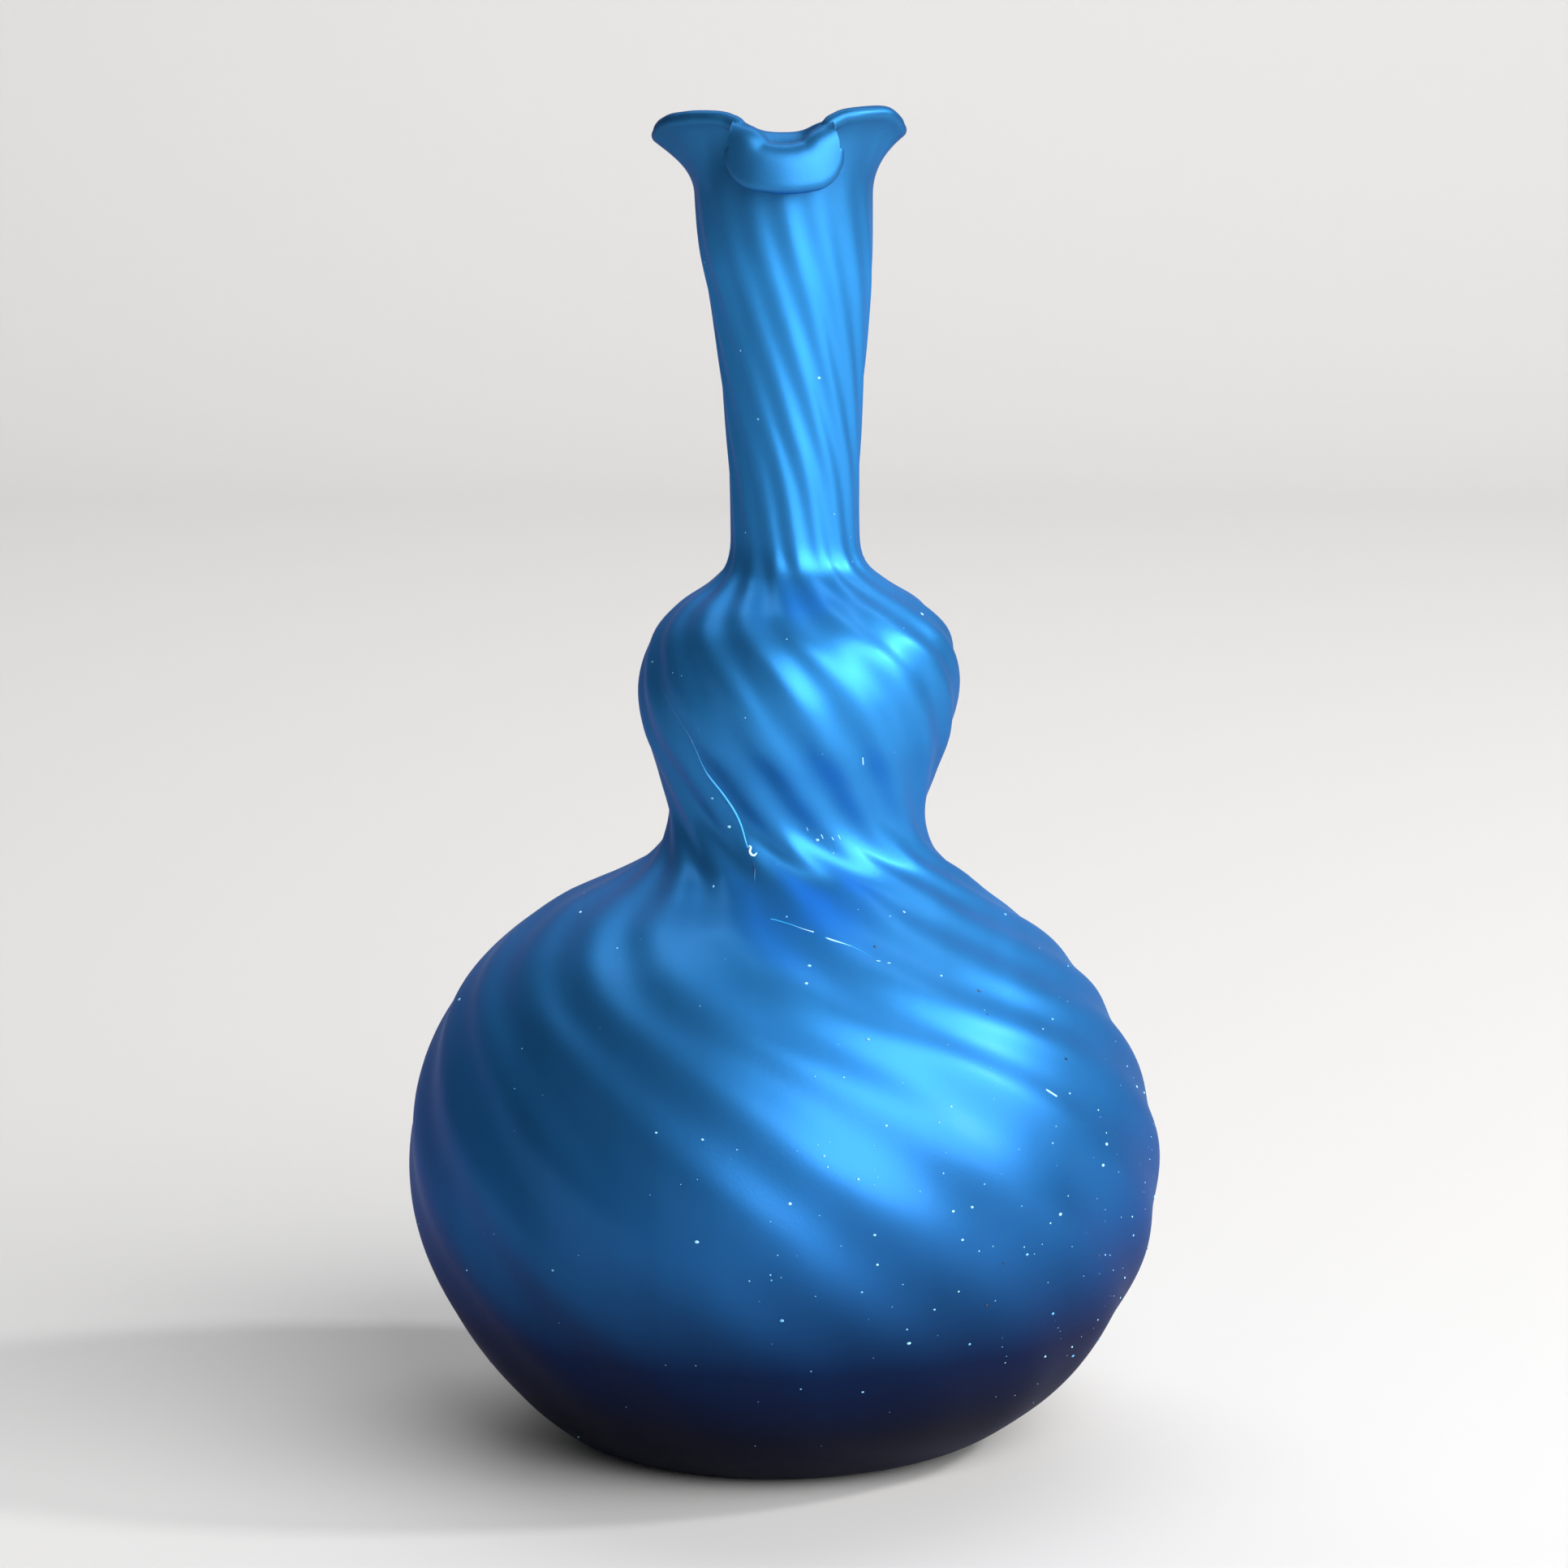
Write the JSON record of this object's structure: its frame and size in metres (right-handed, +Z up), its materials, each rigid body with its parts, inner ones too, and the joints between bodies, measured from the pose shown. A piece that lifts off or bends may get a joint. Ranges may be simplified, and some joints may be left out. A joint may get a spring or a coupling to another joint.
{
  "type": "vase",
  "caption": "Double gourd glass vase with twisted ribs, a wide lower bulb, a narrow neck and a ruffled lobed lip; holds a few stems.",
  "frame": {"origin": "on the table under the centre of the vase's box", "axes": "+Z up along the neck; -Y towards the narrow drooping lobe of the lip; the two wide lobes lie along X"},
  "size_m": [0.125, 0.125, 0.2207],
  "materials": {
    "blue_glass": "satin, faintly lustred, translucent",
    "clear_glass": "smooth",
    "pontil_glass": "fire polished",
    "pale_glass": "glossy",
    "seed_grain": "glossy"
  },
  "bodies": {
    "root": {"blue_casing": "blue_glass", "clear_lining": "clear_glass", "pontil_button": "pontil_glass", "glass_trail": "pale_glass", "skin_seeds": "seed_grain"}
  },
  "joints": []
}
